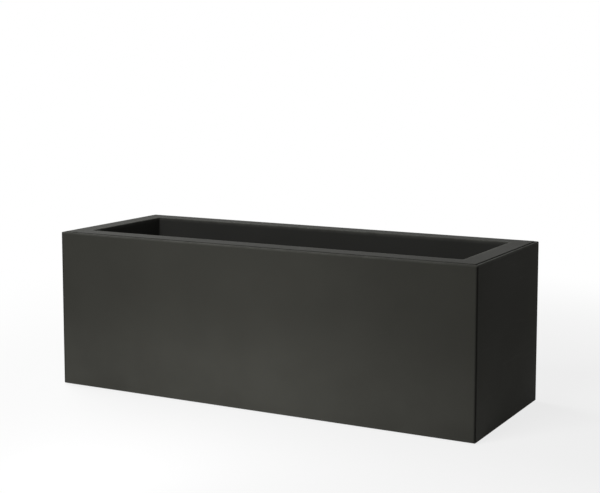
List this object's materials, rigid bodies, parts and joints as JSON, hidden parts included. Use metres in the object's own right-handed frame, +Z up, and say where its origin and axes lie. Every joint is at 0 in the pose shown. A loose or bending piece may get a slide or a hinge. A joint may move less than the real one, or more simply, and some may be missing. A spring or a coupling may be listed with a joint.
{
  "type": "plastic planter box",
  "caption": "Rectangular plastic trough planter: plain outer casing, drop-in planting liner with a broad flat rim, lift-out drainage grids, base drain plugs and rubber feet.",
  "frame": {"origin": "on the ground under the middle of the box", "axes": "+X along the length to the right seen from the front, +Y to the back, +Z up"},
  "size_m": [0.8, 0.295, 0.282],
  "materials": {
    "casing_plastic": "satin moulded, fine grain",
    "liner_plastic": "satin moulded, fine grain",
    "grid_plastic": "matt moulded",
    "plug_plastic": "smooth moulded",
    "seal_rubber": "matt",
    "foot_rubber": "matt"
  },
  "bodies": {
    "casing": {"outer_casing": "casing_plastic", "foot_front_left": "foot_rubber", "foot_front_middle": "foot_rubber", "foot_front_right": "foot_rubber", "foot_rear_left": "foot_rubber", "foot_rear_middle": "foot_rubber", "foot_rear_right": "foot_rubber"},
    "liner": {"inner_liner": "liner_plastic"},
    "grid_left": {"drainage_grid_left": "grid_plastic"},
    "grid_right": {"drainage_grid_right": "grid_plastic"},
    "plug_left": {"drain_plug_left": "plug_plastic", "drain_seal_left": "seal_rubber"},
    "plug_right": {"drain_plug_right": "plug_plastic", "drain_seal_right": "seal_rubber"}
  },
  "joints": [
    {"name": "liner_lift", "type": "slide", "parent": "casing", "child": "liner", "axis": [0, 0, 1], "range_m": [0, 0.29]},
    {"name": "grid_left_lift", "type": "slide", "parent": "liner", "child": "grid_left", "axis": [0, 0, 1], "range_m": [0, 0.24]},
    {"name": "grid_right_lift", "type": "slide", "parent": "liner", "child": "grid_right", "axis": [0, 0, 1], "range_m": [0, 0.24]},
    {"name": "plug_left_lift", "type": "slide", "parent": "casing", "child": "plug_left", "axis": [0, 0, 1], "range_m": [0, 0.018]},
    {"name": "plug_right_lift", "type": "slide", "parent": "casing", "child": "plug_right", "axis": [0, 0, 1], "range_m": [0, 0.018]}
  ]
}
